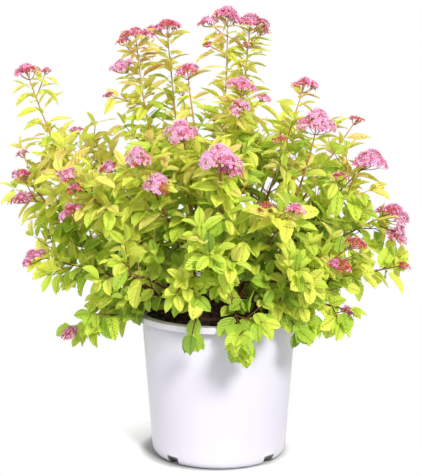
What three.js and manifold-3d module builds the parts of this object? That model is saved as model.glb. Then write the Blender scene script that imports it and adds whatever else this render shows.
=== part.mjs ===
// A golden-leaved spirea shrub in a white nursery pot: a clump of canes that fan out of one root crown, each
// ending in a mass of twigs, leaves and flat flower heads. Units are millimetres, +Z is up, the origin is the
// middle of the pot's flat underside, and the front faces -Y.
import * as THREE from "three";
import { mergeVertices } from "three/addons/utils/BufferGeometryUtils.js";
import Module from "manifold-3d";

const wasm = await Module();
wasm.setup();

// ---------------------------------------------------------------- driving dimensions
const seat = 0.3; // clearance left between two pieces that touch

const pot = {
  height: 241,
  footRadius: 111, // where the wall would meet the ground
  topRadius: 127.3, // outside of the wall, at the lip
  lipRadius: 139.7,
  lipDrop: 10, // how far the lip's skirt hangs down
  wall: 2.2,
  floor: 3,
  corner: 16, // rounding between wall and underside
  sides: 32,
};
const notch = { count: 4, width: 22, height: 13, depth: 17, firstTurn: -133 }; // drain notches in the lower corner

const soil = { edgeHeight: 225, middleHeight: 231, flatRadius: 62, sides: 32 };
const rootCrown = { radius: 57, height: 28, shoulder: 0.55, edge: 0.2, sides: 12 };
const foot = { innerRadius: 4, spread: 44, depth: 6, spacing: 14.5 }; // where canes leave the root crown

const cane = { footRadius: 3.6, tipRadius: 1.7, sides: 4, steps: 4 };
const stem = { sides: 3, steps: 5, girth: 1.25 }; // girth: a three-sided stem is drawn this much wider
const twig = { radius: 1.9, tipRadius: 1.3, length: 80, lengthSpread: 0.35 };
const leaf = { length: 66, width: 31, widest: 0.44, keel: 0.045 };
const growth = {
  lowStep: 22, // distance between leaf stations on a stem at the pot's rim, and at fullHeight above it
  highStep: 37.5,
  firstLeaf: 48, // bare stretch of a stem that springs from the root crown
  goldenAngle: 137.5,
  twigEvery: 3, // every third station carries a side twig, and the others a leaf
  twigZone: 0.78, // side twigs stop at this share of the leafy stretch
  leavesOnTwig: 5,
  lowDroop: -0.9, // how much leaves hang or stand up at those two heights
  highDroop: 0.5,
  lowSize: 1.25, // size of leaves at those two heights
  highSize: 0.8,
  fullHeight: 400,
  leafLean: 0.6, // how far leaves and twigs lean along their stem, and how much more at each further try
  twigLean: 0.8,
  leanStep: 0.2,
  tries: 7, // how often a leaf that doesn't fit is turned and shortened
  smallest: 0.02, // shorter edges left where pieces meet are closed up
};
const bloom = { depth: 0.24, sides: 8, lobe: 0.13 };
const clearance = { space: 1.2, limb: 1.4, pot: 6 };

// Each cane's heading (turn, from +X), how far out and how high its tip ends, how far it bows above a straight
// line (lift), where along that line it bows if not in the middle (bowAt), the share of it that is bare limb, and
// the width of its flower head. A cane with no bare share has no limb of its own, and springs straight from the
// root crown. Shoots are side shoots that also flower.
const canes = [
  {
    name: "top_left",
    turn: 64,
    reach: 33,
    height: 721,
    lift: 6,
    bare: 0.26,
    bloom: 52,
    shoots: [
      { at: 0.92, turn: -180, rise: 37, length: 41, bloom: 32 },
      { at: 0.86, turn: -148, rise: 23, length: 41, bloom: 16 },
    ],
  },
  {
    name: "top_right",
    turn: 53,
    reach: 87,
    height: 710,
    lift: 20,
    bare: 0.28,
    bloom: 56,
    shoots: [
      { at: 0.9, turn: 22, rise: 44, length: 37, bloom: 30 },
      { at: 0.86, turn: -92, rise: 47, length: 29, bloom: 16 },
    ],
  },
  {
    name: "crest_left",
    turn: 172,
    reach: 136,
    height: 690,
    lift: -180,
    bowAt: 0.78,
    bare: 0.28,
    bloom: 50,
    shoots: [
      { at: 0.93, turn: -180, rise: 45, length: 36, bloom: 22 },
      { at: 0.85, turn: -163, rise: 40, length: 44, bloom: 38 },
      { at: 0.78, turn: -161, rise: 18, length: 65, bloom: 16 },
    ],
  },
  {
    name: "crest_right",
    turn: 145,
    reach: 104,
    height: 702,
    lift: -160,
    bowAt: 0.75,
    bare: 0.31,
    bloom: 50,
    shoots: [{ at: 0.93, turn: 162, rise: 44, length: 44, bloom: 26 }],
  },
  { name: "inner", turn: -135, reach: 71, height: 636, lift: 6, bare: 0.28, bloom: 42 },
  {
    name: "far_left",
    turn: 174,
    reach: 315,
    height: 632,
    lift: -175,
    bowAt: 0.68,
    bare: 0.36,
    bloom: 46,
    shoots: [{ at: 0.92, turn: 0, rise: 68, length: 48, bloom: 18 }],
  },
  {
    name: "mid_top",
    turn: -69,
    reach: 96,
    height: 615,
    lift: 14,
    bare: 0.26,
    bloom: 44,
    shoots: [
      { at: 0.84, turn: 0, rise: 41, length: 51, bloom: 24 },
      { at: 0.86, turn: -90, rise: 26, length: 39, bloom: 32 },
    ],
  },
  { name: "right_top", turn: 8, reach: 140, height: 610, lift: -24, bare: 0.31, bloom: 40 },
  {
    name: "right_full",
    turn: -18,
    reach: 163,
    height: 558,
    lift: -105,
    bowAt: 0.8,
    bare: 0.26,
    bloom: 62,
    shoots: [{ at: 0.72, turn: -153, rise: 54, length: 75, bloom: 24 }],
  },
  { name: "right_back", turn: 27, reach: 263, height: 543, lift: 6, bare: 0.28, bloom: 28 },
  {
    name: "right_high",
    turn: -5,
    reach: 246,
    height: 493,
    lift: 8,
    bare: 0.28,
    bloom: 64,
    shoots: [{ at: 0.75, turn: -88, rise: 52, length: 41, bloom: 30 }],
  },
  {
    name: "right_wide",
    turn: 4,
    reach: 288,
    height: 399,
    lift: 30,
    bare: 0.21,
    bloom: 62,
    shoots: [{ at: 0.85, turn: -25, rise: -16, length: 49, bloom: 38 }],
  },
  { name: "right_low", turn: -6, reach: 300, height: 320, lift: 14, bloom: 24 },
  {
    name: "left_high",
    turn: 179,
    reach: 320,
    height: 465,
    lift: -70,
    bare: 0.28,
    bloom: 36,
    shoots: [
      { at: 0.86, turn: -159, rise: 13, length: 43, bloom: 38 },
      { at: 0.88, turn: -180, rise: 67, length: 82, bloom: 22 },
    ],
  },
  { name: "left_mid", turn: -173, reach: 303, height: 336, lift: 22, bloom: 42 },
  { name: "left_back", turn: 152, reach: 277, height: 525, lift: 4, bare: 0.28, bloom: 24 },
  { name: "front_high", turn: -114, reach: 143, height: 549, lift: 14, bare: 0.24, bloom: 52 },
  {
    name: "front_left",
    turn: -128,
    reach: 201,
    height: 514,
    lift: 14,
    bare: 0.21,
    bloom: 42,
    shoots: [
      { at: 0.78, turn: -80, rise: 18, length: 53, bloom: 40 },
      { at: 0.8, turn: -180, rise: 22, length: 71, bloom: 34 },
    ],
  },
  {
    name: "front_mid",
    turn: -90,
    reach: 200,
    height: 517,
    lift: 6,
    bare: 0.21,
    bloom: 62,
    shoots: [{ at: 0.86, turn: -51, rise: 30, length: 30, bloom: 34 }],
  },
  {
    name: "left_front",
    turn: -152,
    reach: 265,
    height: 480,
    lift: 10,
    bloom: 30,
    shoots: [
      { at: 0.86, turn: -136, rise: 16, length: 30, bloom: 26 },
      { at: 0.78, turn: -161, rise: -11, length: 46, bloom: 34 },
    ],
  },
  {
    name: "front_red",
    turn: -60,
    reach: 227,
    height: 438,
    lift: 24,
    bloom: 28,
    shoots: [{ at: 0.8, turn: -159, rise: 47, length: 40, bloom: 32 }],
  },
  { name: "back_mid", turn: 106, reach: 235, height: 584, lift: 20, bare: 0.26, bloom: 24 },
  { name: "back_right", turn: 62, reach: 250, height: 528, lift: 20, bare: 0.24, bloom: 24 },
  {
    name: "right_front",
    turn: -36,
    reach: 231,
    height: 340,
    lift: 37,
    bloom: 42,
    shoots: [{ at: 0.8, turn: 0, rise: 35, length: 69, bloom: 36 }],
  },
  { name: "rim_right", turn: -24, reach: 224, height: 258, lift: 34, bloom: 26 },
  { name: "rim_front", turn: -78, reach: 176, height: 226, lift: 62, bloom: 0 },
  { name: "rim_left", turn: -104, reach: 173, height: 238, lift: 62, bloom: 0 },
  { name: "left_low", turn: -168, reach: 244, height: 214, lift: 54, bloom: 38 },
  { name: "rim_back_left", turn: 124, reach: 186, height: 236, lift: 62, bloom: 0 },
  { name: "rim_back_right", turn: 64, reach: 188, height: 240, lift: 62, bloom: 0 },
  { name: "low_back_left", turn: 138, reach: 300, height: 320, lift: 50, bloom: 36 },
  { name: "low_back", turn: 92, reach: 306, height: 350, lift: 56, bloom: 40 },
  { name: "low_back_right", turn: 44, reach: 304, height: 316, lift: 50, bloom: 36 },
  { name: "low_front", turn: -94, reach: 222, height: 372, lift: 46, bloom: 0 },
  { name: "low_front_near", turn: -112, reach: 178, height: 300, lift: 64, bloom: 0 },
  { name: "low_front_far", turn: -48, reach: 180, height: 238, lift: 62, bloom: 0 },
  { name: "low_front_left", turn: -142, reach: 232, height: 318, lift: 56, bloom: 0 },
  { name: "low_front_right", turn: -52, reach: 220, height: 318, lift: 56, bloom: 0 },
];

const colours = {
  pot: { color: 0xf4f3f6, roughness: 0.42 },
  soil: { color: 0x2a1c15, roughness: 1 },
  bark: { color: 0x6b4430, roughness: 0.85 },
  foliage: { color: 0xa9c72f, roughness: 0.6 },
};

// ---------------------------------------------------------------- small tools
const up = new THREE.Vector3(0, 0, 1);
const radians = THREE.MathUtils.degToRad;
const mix = THREE.MathUtils.lerp;

/** A repeatable stream of numbers from 0 to 1. */
function dice(seed) {
  let throws = seed * 97;
  return () => {
    const s = Math.sin(++throws * 12.9898) * 43758.5453;
    return s - Math.floor(s);
  };
}

function heading(turn, rise = 0) {
  const flat = Math.cos(radians(rise));
  return new THREE.Vector3(flat * Math.cos(radians(turn)), flat * Math.sin(radians(turn)), Math.sin(radians(rise)));
}

/** start + direction * distance, as a new point. */
function along(start, direction, distance) {
  return start.clone().addScaledVector(direction, distance);
}

/** The part of direction that is square to axis, at length 1. */
function squareTo(direction, axis) {
  return direction.clone().addScaledVector(axis, -direction.dot(axis)).normalize();
}

function solidFrom(points, triangles) {
  return new wasm.Manifold(
    new wasm.Mesh({
      numProp: 3,
      vertProperties: Float32Array.from(points.flatMap((p) => [p.x, p.y, p.z])),
      triVerts: Uint32Array.from(triangles.flat()),
    }),
  );
}

function solidFromGeometry(geometry) {
  geometry.deleteAttribute("normal");
  geometry.deleteAttribute("uv");
  const merged = mergeVertices(geometry, 1e-3);
  return new wasm.Manifold(
    new wasm.Mesh({
      numProp: 3,
      vertProperties: merged.attributes.position.array,
      triVerts: Uint32Array.from(merged.index.array),
    }),
  );
}

function geometryFrom(solid) {
  const mesh = solid.getMesh();
  return new THREE.BufferGeometry()
    .setAttribute("position", new THREE.BufferAttribute(Float32Array.from(mesh.vertProperties), 3))
    .setIndex(new THREE.BufferAttribute(Uint32Array.from(mesh.triVerts), 1));
}

/** A closed tapering limb round a list of points: a ring of corners at each point, and a flat cap at each end. */
function limbSolid(path, radii, sides) {
  const points = [];
  const triangles = [];
  let across = squareTo(new THREE.Vector3(0.31, 0.83, 0.46), path[1].clone().sub(path[0]).normalize());
  path.forEach((centre, i) => {
    const before = path[Math.max(i - 1, 0)];
    const after = path[Math.min(i + 1, path.length - 1)];
    const direction = after.clone().sub(before).normalize();
    across = squareTo(across, direction);
    const other = direction.clone().cross(across);
    for (let k = 0; k < sides; k++) {
      const a = (k / sides) * 2 * Math.PI;
      points.push(along(along(centre, across, radii[i] * Math.cos(a)), other, radii[i] * Math.sin(a)));
    }
  });
  for (let i = 0; i + 1 < path.length; i++)
    for (let k = 0; k < sides; k++) {
      const [a, b] = [i * sides + k, i * sides + ((k + 1) % sides)];
      triangles.push([a, b, b + sides], [a, b + sides, a + sides]);
    }
  const last = (path.length - 1) * sides;
  for (let k = 1; k + 1 < sides; k++) triangles.push([0, k + 1, k], [last, last + k, last + k + 1]);
  return solidFrom(points, triangles);
}

// ---------------------------------------------------------------- pot, soil and root crown
/** The wall's outer radius at a height above the ground. */
function wallRadius(height) {
  return mix(pot.footRadius, pot.topRadius, height / pot.height);
}

/** An outline of [radius, height] pairs turned round the Z axis. */
function turned(outline, sides) {
  const profile = outline.map(([r, z]) => new THREE.Vector2(r, z));
  return solidFromGeometry(new THREE.LatheGeometry(profile, sides).rotateX(Math.PI / 2));
}

function potSolid() {
  const { height, lipRadius, lipDrop, wall, floor, corner, sides } = pot;
  const rounding = [0, 0.5, 1].map((share) => {
    const a = (share * Math.PI) / 2;
    return [wallRadius(corner) - corner + corner * Math.sin(a), corner - corner * Math.cos(a)];
  });
  const shell = turned(
    [
      [0, 0],
      ...rounding,
      [pot.topRadius, height - wall],
      [lipRadius - wall, height - wall],
      [lipRadius - wall, height - lipDrop],
      [lipRadius, height - lipDrop],
      [lipRadius, height],
      [pot.topRadius - wall, height],
      [wallRadius(corner) - wall, corner],
      [wallRadius(corner) - corner, floor],
      [0, floor],
    ],
    sides,
  );
  const cutters = Array.from({ length: notch.count }, (_, k) => {
    const cut = new THREE.BoxGeometry(notch.depth * 2, notch.width, notch.height * 2);
    cut.translate(wallRadius(0), 0, 0);
    cut.rotateZ(radians(notch.firstTurn + (k * 360) / notch.count));
    return solidFromGeometry(cut);
  });
  return shell.subtract(wasm.Manifold.union(cutters));
}

function soilSolid() {
  const inside = (height) => wallRadius(height) - pot.wall - seat - 0.4;
  return turned(
    [
      [0, pot.floor + seat],
      [inside(pot.corner) - pot.corner, pot.floor + seat],
      [inside(pot.corner) - 1, pot.corner + 1],
      [inside(soil.edgeHeight), soil.edgeHeight],
      [soil.flatRadius, soil.middleHeight],
      [0, soil.middleHeight],
    ],
    soil.sides,
  );
}

/** Height of the root crown's top at a distance from its middle: a shallow cone with a steeper edge round it. */
function crownTop(radius) {
  const share = Math.min(radius / rootCrown.radius, 1);
  const { shoulder, edge, height } = rootCrown;
  const base = soil.middleHeight + seat;
  const fall = share < shoulder ? mix(1, 0.8, share / shoulder) : mix(0.8, edge, (share - shoulder) / (1 - shoulder));
  return base + height * fall;
}

function rootCrownSolid(sockets) {
  const { radius, shoulder } = rootCrown;
  const base = soil.middleHeight + seat;
  const cone = turned(
    [
      [0, base],
      [radius, base],
      [radius, crownTop(radius)],
      [radius * shoulder, crownTop(radius * shoulder)],
      [0, crownTop(0)],
    ],
    rootCrown.sides,
  );
  return cone.subtract(wasm.Manifold.union(sockets));
}

// ---------------------------------------------------------------- canes
/** Where each cane leaves the root crown: on its tip's side, further out the flatter it lies, and kept apart. */
function caneFeet() {
  const feet = canes.map((row) => {
    const steepness = Math.atan2(row.height - soil.middleHeight, row.reach) / (Math.PI / 2);
    return heading(row.turn).multiplyScalar(foot.innerRadius + foot.spread * (1 - Math.max(steepness, 0)) ** 0.8);
  });
  const furthest = rootCrown.radius - 9;
  for (let round = 0; round < 80; round++) {
    for (const a of feet)
      for (const b of feet) {
        const gap = a.distanceTo(b);
        if (a === b || gap > foot.spacing) continue;
        const push = b.clone().sub(a).multiplyScalar((0.3 * (foot.spacing - gap)) / gap);
        b.add(push);
        a.sub(push);
      }
    for (const point of feet) point.clampLength(0, furthest);
  }
  for (const point of feet) point.z = crownTop(point.length()) - foot.depth;
  return feet;
}

/** The cane's curve, from its foot in the root crown to its tip. */
function caneCurve(row, start) {
  const tip = heading(row.turn).multiplyScalar(row.reach);
  tip.z = row.height;
  const bow = start.clone().lerp(tip, row.bowAt ?? 0.5);
  bow.z += row.lift;
  return new THREE.QuadraticBezierCurve3(start, bow, tip);
}

function pathBetween(curve, from, to, steps) {
  return Array.from({ length: steps + 1 }, (_, i) => curve.getPoint(mix(from, to, i / steps)));
}

/** A point part of the way along the straight pieces of a path. */
function pointOn(path, share) {
  const place = Math.min(share, 0.9999) * (path.length - 1);
  const i = Math.floor(place);
  return path[i].clone().lerp(path[i + 1], place - i);
}

function radiusAt(share) {
  return mix(cane.footRadius, cane.tipRadius, share);
}

const feet = caneFeet();
const plans = canes.map((row, index) => {
  const curve = caneCurve(row, feet[index]);
  const length = curve.getLength();
  const start = row.bare ?? 0; // a mass with no limb of its own starts in the root crown
  const shoots = (row.shoots ?? []).map((shoot) => {
    const from = curve.getPoint(shoot.at);
    return { ...shoot, from, to: along(from, heading(shoot.turn, shoot.rise), shoot.length) };
  });
  return { ...row, index, curve, length, start, shoots, stemStart: row.bare ? start + seat / length : 0 };
});

/** 0 at the pot's rim, and 1 at the height where leaves are fewest and smallest. */
function heightShare(z) {
  return (z - pot.height) / growth.fullHeight;
}

/** The straight pieces of each plan's own line, for measuring what is nearest to it. */
for (const plan of plans) {
  const line = pathBetween(plan.curve, plan.stemStart, 1, 10);
  plan.pieces = line.slice(1).map((p, i) => new THREE.Line3(line[i], p));
  plan.pieces.push(...plan.shoots.map((shoot) => new THREE.Line3(shoot.from, shoot.to)));
  const bare = plan.bare ? pathBetween(plan.curve, 0, plan.start, 5) : [];
  plan.limb = bare.slice(1).map((p, i) => new THREE.Line3(bare[i], p));
}

const nearest = new THREE.Vector3();
function distanceTo(pieces, point) {
  return pieces.reduce((least, piece) => {
    piece.closestPointToPoint(point, true, nearest);
    return Math.min(least, nearest.distanceTo(point));
  }, Infinity);
}

/** True where a point lies in the plan's own space: nearer to its line than to any other, clear of limbs and pot. */
function isFree(plan, point, room = clearance.space) {
  const flat = Math.hypot(point.x, point.y);
  const overLip = point.z > pot.height + clearance.pot;
  const outside = flat > pot.lipRadius + clearance.pot;
  const inPot = flat < pot.topRadius - pot.wall - clearance.pot && point.z > soil.middleHeight + clearance.pot;
  if (!(overLip || outside || inPot)) return false;
  if (flat < rootCrown.radius && point.z < crownTop(flat) + clearance.limb) return false;
  const own = distanceTo(plan.pieces, point);
  return plans.every((other) => {
    if (other.limb.length && distanceTo(other.limb, point) < cane.footRadius + clearance.limb) return false;
    return other === plan || distanceTo(other.pieces, point) > own + room;
  });
}

// ---------------------------------------------------------------- leaves, twigs and flower heads
/** Root, tip and margins of a leaf, and points on it that are tested for room. */
function leafPoints(root, direction, face, length, width) {
  const side = face.clone().cross(direction);
  const edge = along(along(root, direction, length * leaf.widest), face, length * leaf.keel);
  const left = along(edge, side, width / 2);
  const right = along(edge, side, -width / 2);
  const tip = along(root, direction, length);
  const between = [left, right].flatMap((p) => [p.clone().lerp(root, 0.5), p.clone().lerp(tip, 0.5)]);
  const corners = [root, tip, left, right];
  return { corners, tested: [left, right, tip, root.clone().lerp(tip, 0.4), root.clone().lerp(tip, 0.7), ...between] };
}

/** A lozenge blade: flat above between its margins, and folded to a keel along the midrib below. */
function leafSolid(corners) {
  const [root, tip, left, right] = [0, 1, 2, 3];
  return solidFrom(corners, [
    [root, left, tip],
    [root, tip, right],
    [root, right, left],
    [tip, left, right],
  ]);
}

/** A flat, lobed flower head on the end of a twig: a point below, a rim, a shoulder and a crown. */
function bloomSolid(tip, axis, width, roll) {
  const { sides, depth, lobe } = bloom;
  const lean = axis.clone().lerp(up, 0.5).normalize();
  const across = squareTo(new THREE.Vector3(0.8, 0.5, 0.2), lean);
  const other = lean.clone().cross(across);
  const centre = along(tip, axis, -2);
  const ring = (radius, height, shift) =>
    Array.from({ length: sides }, (_, k) => {
      const a = ((k + shift) / sides) * 2 * Math.PI;
      const r = radius * (1 + lobe * Math.sin(3 * a + roll));
      return along(along(along(centre, across, r * Math.cos(a)), other, r * Math.sin(a)), lean, height);
    });
  const points = [
    along(centre, lean, -0.2 * width),
    ...ring(width / 2, 0, 0),
    ...ring(width * 0.34, width * depth * 0.7, 0.5),
    along(centre, lean, width * depth),
  ];
  const triangles = [];
  for (let k = 0; k < sides; k++) {
    const next = (k + 1) % sides;
    const [low, lowNext, high, highNext] = [1 + k, 1 + next, 1 + sides + k, 1 + sides + next];
    triangles.push([0, lowNext, low], [low, lowNext, high], [lowNext, highNext, high], [high, highNext, 1 + 2 * sides]);
  }
  return solidFrom(points, triangles);
}

/** Adds a solid to a mass if it crosses no piece of it but the one it grows from. */
function addClear(pieces, parent, solid) {
  if (pieces.some((piece) => piece !== parent && !piece.intersect(solid).isEmpty())) return false;
  pieces.push(solid);
  return true;
}

/** Grows a leaf at a point on a stem, turned and shortened until it has room. */
function growLeaf(plan, pieces, parent, root, axis, angle, share, roll) {
  const size = share * mix(growth.lowSize, growth.highSize, heightShare(root.z));
  const droop = mix(growth.lowDroop, growth.highDroop, heightShare(root.z)) + roll * 0.4;
  for (let turn = 0; turn < growth.tries; turn++) {
    const radial = squareTo(up, axis).applyAxisAngle(axis, radians(angle + turn * 47));
    const lean = growth.leafLean + growth.leanStep * turn;
    const direction = radial.clone().addScaledVector(axis, lean).addScaledVector(up, droop).normalize();
    const face = squareTo(Math.abs(direction.z) > 0.95 ? radial : up, direction);
    face.applyAxisAngle(direction, (roll - 0.5) * 1.1);
    const length = leaf.length * size * (1 - 0.07 * turn);
    const width = leaf.width * size * (1 - 0.05 * turn);
    const { corners, tested } = leafPoints(root, direction, face, length, width);
    if (tested.every((point) => isFree(plan, point)) && addClear(pieces, parent, leafSolid(corners))) return;
  }
}

/** Leaves set in turn up a twig, the last one at its tip. */
function twigLeaves(plan, pieces, parent, path, count, size, chance) {
  const axis = path.at(-1).clone().sub(path[0]).normalize();
  for (let k = 0; k < count; k++) {
    const share = (k + 1) / count;
    const root = pointOn(path, Math.min(share, 0.97));
    const angle = 100 + k * 160 + chance() * 40;
    growLeaf(plan, pieces, parent, root, axis, angle, size * (1.05 - 0.2 * share), chance());
  }
}

/** A side twig that bends towards the light, with its leaves, or nothing where it has no room. */
function growTwig(plan, pieces, from, axis, angle, reach, chance) {
  for (let turn = 0; turn < growth.tries; turn++) {
    const radial = squareTo(up, axis).applyAxisAngle(axis, radians(angle + turn * 61));
    const lean = growth.twigLean + growth.leanStep * turn;
    const direction = radial.addScaledVector(axis, lean).addScaledVector(up, 0.2).normalize();
    const length = reach * (1 - 0.08 * turn);
    const middle = along(from, direction, length * 0.55);
    const tip = along(along(from, direction, length * 0.95), up, length * 0.14);
    const path = [from, middle, tip];
    if (![middle, middle.clone().lerp(tip, 0.5), tip].every((p) => isFree(plan, p, clearance.space + 1))) continue;
    const solid = limbSolid(path, [twig.radius, mix(twig.radius, twig.tipRadius, 0.5), twig.tipRadius], 3);
    if (!addClear(pieces, pieces[0], solid)) continue;
    twigLeaves(plan, pieces, solid, path, growth.leavesOnTwig, 0.92, chance);
    return;
  }
}

/** A flowering side shoot, with its head and its leaves. */
function growShoot(plan, pieces, shoot, chance) {
  const axis = shoot.to.clone().sub(shoot.from).normalize();
  const solid = limbSolid([shoot.from, shoot.to], [twig.radius, twig.tipRadius], 3);
  pieces.push(solid);
  addClear(pieces, solid, bloomSolid(shoot.to, axis, shoot.bloom, chance() * 6));
  twigLeaves(plan, pieces, solid, [shoot.from, shoot.from.clone().lerp(shoot.to, 0.8)], 2, 0.8, chance);
}

/** One mass: the stem that goes on from its limb, its blossom, and side twigs and leaves set round it in turn. */
function massSolid(plan) {
  const chance = dice(plan.index + 1);
  const path = pathBetween(plan.curve, plan.stemStart, 1, stem.steps);
  const radii = path.map((_, i) => stem.girth * radiusAt(mix(plan.stemStart, 1, i / stem.steps)));
  const pieces = [limbSolid(path, radii, stem.sides)];
  const main = pieces[0];
  if (plan.bloom) pieces.push(bloomSolid(path.at(-1), plan.curve.getTangent(1), plan.bloom, plan.index));
  for (const shoot of plan.shoots) growShoot(plan, pieces, shoot, chance);
  const firstLeaf = plan.bare ? plan.start + 12 / plan.length : growth.firstLeaf / plan.length;
  for (let k = 0, share = firstLeaf; share < 0.97; k++) {
    const root = pointOn(path, (share - plan.stemStart) / (1 - plan.stemStart));
    const axis = plan.curve.getTangent(share);
    const angle = k * growth.goldenAngle + plan.index * 50;
    if (k % growth.twigEvery === 1 && share < growth.twigZone) {
      const reach = twig.length * (1.15 - 0.45 * share) * (1 - twig.lengthSpread * chance());
      growTwig(plan, pieces, root, axis, angle, reach, chance);
    } else growLeaf(plan, pieces, main, root, axis, angle, 1.04 - 0.2 * share + 0.1 * chance(), chance());
    share += mix(growth.lowStep, growth.highStep, heightShare(root.z)) / plan.length;
  }
  if (!plan.bloom) twigLeaves(plan, pieces, main, path.slice(-2), 2, 0.9, chance);
  return wasm.Manifold.union(pieces).simplify(growth.smallest);
}

// ---------------------------------------------------------------- the shrub
function piece(name, solid, finish) {
  const material = new THREE.MeshStandardMaterial({ ...colours[finish], metalness: 0, name: finish });
  const mesh = new THREE.Mesh(geometryFrom(solid), material);
  mesh.name = name;
  return mesh;
}

/** The hole that a cane stands in: its own first stretch, a clearance wider and deeper. */
function socketSolid(plan) {
  const [sides, girth, steps] = plan.bare ? [cane.sides, 1, cane.steps] : [stem.sides, stem.girth, stem.steps];
  const [start, next] = pathBetween(plan.curve, 0, plan.bare ? plan.start : 1, steps);
  const direction = next.sub(start).normalize();
  const radius = girth * cane.footRadius + (1.15 * seat) / Math.cos(Math.PI / sides);
  return limbSolid([along(start, direction, -seat), along(start, direction, 3 * foot.depth)], [radius, radius], sides);
}

const shrub = new THREE.Group();
shrub.add(piece("pot", potSolid(), "pot"));
shrub.add(piece("soil", soilSolid(), "soil"));
shrub.add(piece("root_crown", rootCrownSolid(plans.map(socketSolid)), "bark"));
for (const plan of plans) {
  if (plan.bare) {
    const path = pathBetween(plan.curve, 0, plan.start, cane.steps);
    const radii = path.map((_, i) => radiusAt((plan.start * i) / cane.steps));
    shrub.add(piece("cane_" + plan.name, limbSolid(path, radii, cane.sides), "bark"));
  }
  shrub.add(piece("foliage_" + plan.name, massSolid(plan), "foliage"));
}

export default shrub;
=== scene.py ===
import math

import bpy
import numpy as np
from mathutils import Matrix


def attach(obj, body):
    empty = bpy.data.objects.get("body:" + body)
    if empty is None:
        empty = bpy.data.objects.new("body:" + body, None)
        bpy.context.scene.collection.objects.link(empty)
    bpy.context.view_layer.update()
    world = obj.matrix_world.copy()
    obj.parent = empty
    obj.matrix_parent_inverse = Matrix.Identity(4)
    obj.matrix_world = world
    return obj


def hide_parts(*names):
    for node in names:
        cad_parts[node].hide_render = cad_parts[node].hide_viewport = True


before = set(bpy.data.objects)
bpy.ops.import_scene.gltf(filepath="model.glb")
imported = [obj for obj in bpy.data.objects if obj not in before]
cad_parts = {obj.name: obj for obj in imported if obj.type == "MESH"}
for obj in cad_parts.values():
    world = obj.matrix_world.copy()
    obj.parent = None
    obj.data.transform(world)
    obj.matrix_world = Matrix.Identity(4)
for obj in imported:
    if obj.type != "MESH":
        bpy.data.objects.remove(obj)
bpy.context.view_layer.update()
nodeNames = sorted(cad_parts)
foliageNodes = [name for name in nodeNames if name.startswith("foliage_")]
caneNodes = [name for name in nodeNames if name.startswith("cane_")]
up = np.array([0.0, 0.0, 1.0])
goldenAngle = math.radians(137.5)


def mix(low, high, share):  # low at share 0 and high at share 1
    return low + (high - low) * share


def unit(vectors):  # each vector brought to length 1
    return vectors / np.maximum(np.linalg.norm(vectors, axis=-1, keepdims=True), 1e-9)


def outwardOf(points):  # the level direction from the middle to each point
    return unit(points * [1, 1, 0])


def squareTo(vectors, axis):  # the part of each vector that is square to axis, at length 1
    return unit(vectors - np.sum(vectors * axis, axis=-1, keepdims=True) * axis)


def turnedAbout(vectors, axis, angle):  # v cos a + (axis x v) sin a, for v square to a unit axis
    angle = np.asarray(angle)[..., None]
    return vectors * np.cos(angle) + np.cross(axis, vectors) * np.sin(angle)


def guideFor(axes):  # a direction well off each axis: up, or +X where the axis itself is steep
    return np.where(np.abs(axes[..., 2:]) > 0.9, [1.0, 0.0, 0.0], up)


def heading(turn, rise=0):  # the direction at a turn from +X and a rise above the level, in degrees
    turn, rise = np.radians(turn), np.radians(rise)
    return np.stack([np.cos(rise) * np.cos(turn), np.cos(rise) * np.sin(turn), np.sin(rise)], axis=-1)


def evenTurns(count):  # angles that share out a full circle
    return np.arange(count) * 2 * math.pi / count


def onBow(start, middle, end, t):  # (1-t)^2 start + 2t(1-t) middle + t^2 end
    return (1 - t) ** 2 * start + 2 * t * (1 - t) * middle + t**2 * end


def bowedPath(start, middle, end, count=9):  # points of such a bow at even steps of t
    return onBow(start, middle, end, np.linspace(0, 1, count)[:, None])


def addObject(name, data):
    made = bpy.data.objects.new(name, data)
    bpy.context.scene.collection.objects.link(made)
    return made


def addPiece(
    name, points, faceSets, materials, standsFor, faceMaterials=None, pattern=None, smooth=True
):
    # a mesh from one array of points and arrays of faces with three, four or more corners each, and a UV
    # pair for each point where its material follows the surface
    points = np.asarray(points, dtype=np.float32).reshape(-1, 3)
    corners = np.concatenate([faces.ravel() for faces in faceSets]).astype(np.int32)
    sizes = np.concatenate([np.full(len(faces), faces.shape[1]) for faces in faceSets])
    mesh = bpy.data.meshes.new(name)
    mesh.vertices.add(len(points))
    mesh.vertices.foreach_set("co", points.ravel())
    mesh.loops.add(len(corners))
    mesh.loops.foreach_set("vertex_index", corners)
    mesh.polygons.add(len(sizes))
    mesh.polygons.foreach_set("loop_start", (np.cumsum(sizes) - sizes).astype(np.int32))
    mesh.polygons.foreach_set("use_smooth", np.full(len(sizes), smooth))
    for material in materials:
        mesh.materials.append(material)
    if faceMaterials is not None:
        mesh.polygons.foreach_set("material_index", faceMaterials.astype(np.int32))
    if pattern is not None:
        pairs = pattern.astype(np.float32)[corners]
        mesh.uv_layers.new(name="pattern").data.foreach_set("uv", pairs.ravel())
    mesh.update(calc_edges=True)
    piece = addObject(name, mesh)
    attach(piece, "root")
    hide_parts(*standsFor)
    print("made", name, "with", int((sizes - 2).sum()), "triangles")


def repeated(faces, pointCount, count):  # a template's faces for each of this many copies of its points
    offsets = (np.arange(count) * pointCount)[:, None, None]
    return (faces[None] + offsets).reshape(-1, faces.shape[1])


def joined(parts):  # several (points, face sets) made one, faces with equally many corners kept together
    points = np.concatenate([part[0].reshape(-1, 3) for part in parts])
    offset, sets = 0, {}
    for partPoints, faceSets in parts:
        for faces in faceSets:
            sets.setdefault(faces.shape[1], []).append(faces + offset)
        offset += len(partPoints.reshape(-1, 3))
    return points, [np.concatenate(faces) for faces in sets.values()]


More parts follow.
